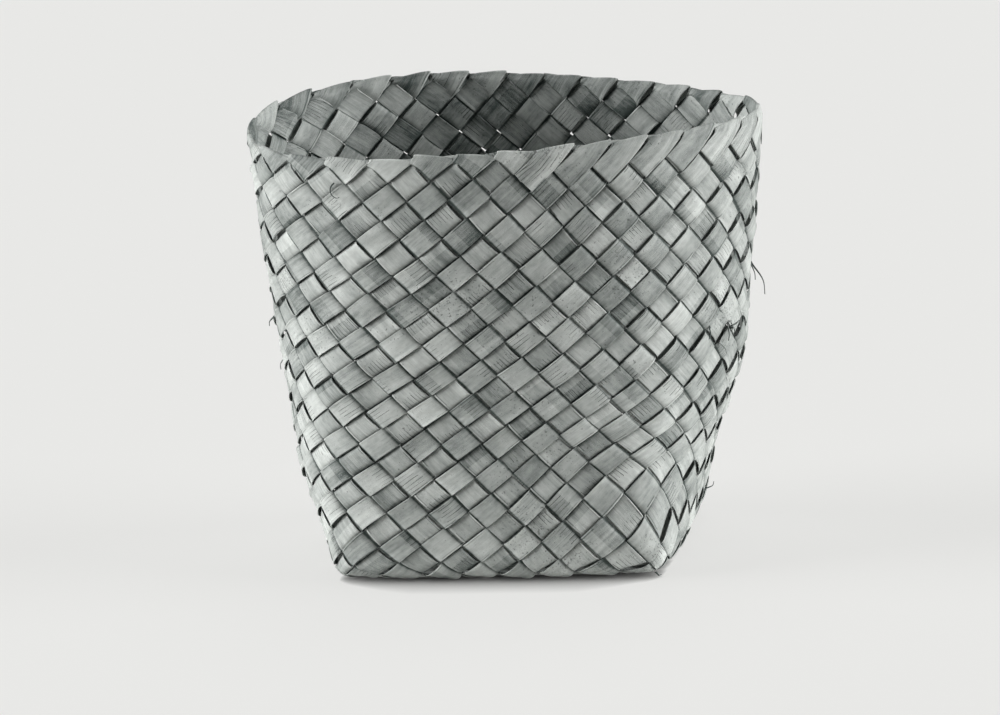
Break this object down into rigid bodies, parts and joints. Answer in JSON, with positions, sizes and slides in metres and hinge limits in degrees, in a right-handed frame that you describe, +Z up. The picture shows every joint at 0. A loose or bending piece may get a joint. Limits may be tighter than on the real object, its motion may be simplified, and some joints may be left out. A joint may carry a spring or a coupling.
{
  "type": "basket",
  "caption": "Plaited basket of interlaced flat strips with a square bottom, a flaring wall and an oval open mouth whose strip ends fold over the rim, for holding and carrying small goods.",
  "frame": {"origin": "middle of the basket's footprint, on the surface that it stands on", "axes": "+X along the mouth's long way, towards the side on the picture's right; +Y from the front wall to the back wall; +Z up, out of the mouth"},
  "size_m": [0.2698, 0.1968, 0.2385],
  "materials": {
    "strip_front_left_1": "dry, matt",
    "strip_front_left_2": "dry, matt",
    "strip_front_left_3": "dry, matt",
    "strip_front_left_4": "dry, matt",
    "strip_front_left_5": "dry, matt",
    "strip_front_left_6": "dry, matt",
    "strip_front_left_7": "dry, matt",
    "strip_front_left_8": "dry, matt",
    "strip_front_right_1": "dry, matt",
    "strip_front_right_2": "dry, matt",
    "strip_front_right_3": "dry, matt",
    "strip_front_right_4": "dry, matt",
    "strip_front_right_5": "dry, matt",
    "strip_front_right_6": "dry, matt",
    "strip_front_right_7": "dry, matt",
    "strip_front_right_8": "dry, matt",
    "strip_back_right_1": "dry, matt",
    "strip_back_right_2": "dry, matt",
    "strip_back_right_3": "dry, matt",
    "strip_back_right_4": "dry, matt",
    "strip_back_right_5": "dry, matt",
    "strip_back_right_6": "dry, matt",
    "strip_back_right_7": "dry, matt",
    "strip_back_right_8": "dry, matt",
    "strip_back_left_1": "dry, matt",
    "strip_back_left_2": "dry, matt",
    "strip_back_left_3": "dry, matt",
    "strip_back_left_4": "dry, matt",
    "strip_back_left_5": "dry, matt",
    "strip_back_left_6": "dry, matt",
    "strip_back_left_7": "dry, matt",
    "strip_back_left_8": "dry, matt"
  },
  "bodies": {
    "root": {"strip_front_left_1": "strip_front_left_1", "strip_front_left_2": "strip_front_left_2", "strip_front_left_3": "strip_front_left_3", "strip_front_left_4": "strip_front_left_4", "strip_front_left_5": "strip_front_left_5", "strip_front_left_6": "strip_front_left_6", "strip_front_left_7": "strip_front_left_7", "strip_front_left_8": "strip_front_left_8", "strip_front_right_1": "strip_front_right_1", "strip_front_right_2": "strip_front_right_2", "strip_front_right_3": "strip_front_right_3", "strip_front_right_4": "strip_front_right_4", "strip_front_right_5": "strip_front_right_5", "strip_front_right_6": "strip_front_right_6", "strip_front_right_7": "strip_front_right_7", "strip_front_right_8": "strip_front_right_8", "strip_back_right_1": "strip_back_right_1", "strip_back_right_2": "strip_back_right_2", "strip_back_right_3": "strip_back_right_3", "strip_back_right_4": "strip_back_right_4", "strip_back_right_5": "strip_back_right_5", "strip_back_right_6": "strip_back_right_6", "strip_back_right_7": "strip_back_right_7", "strip_back_right_8": "strip_back_right_8", "strip_back_left_1": "strip_back_left_1", "strip_back_left_2": "strip_back_left_2", "strip_back_left_3": "strip_back_left_3", "strip_back_left_4": "strip_back_left_4", "strip_back_left_5": "strip_back_left_5", "strip_back_left_6": "strip_back_left_6", "strip_back_left_7": "strip_back_left_7", "strip_back_left_8": "strip_back_left_8"}
  },
  "joints": []
}
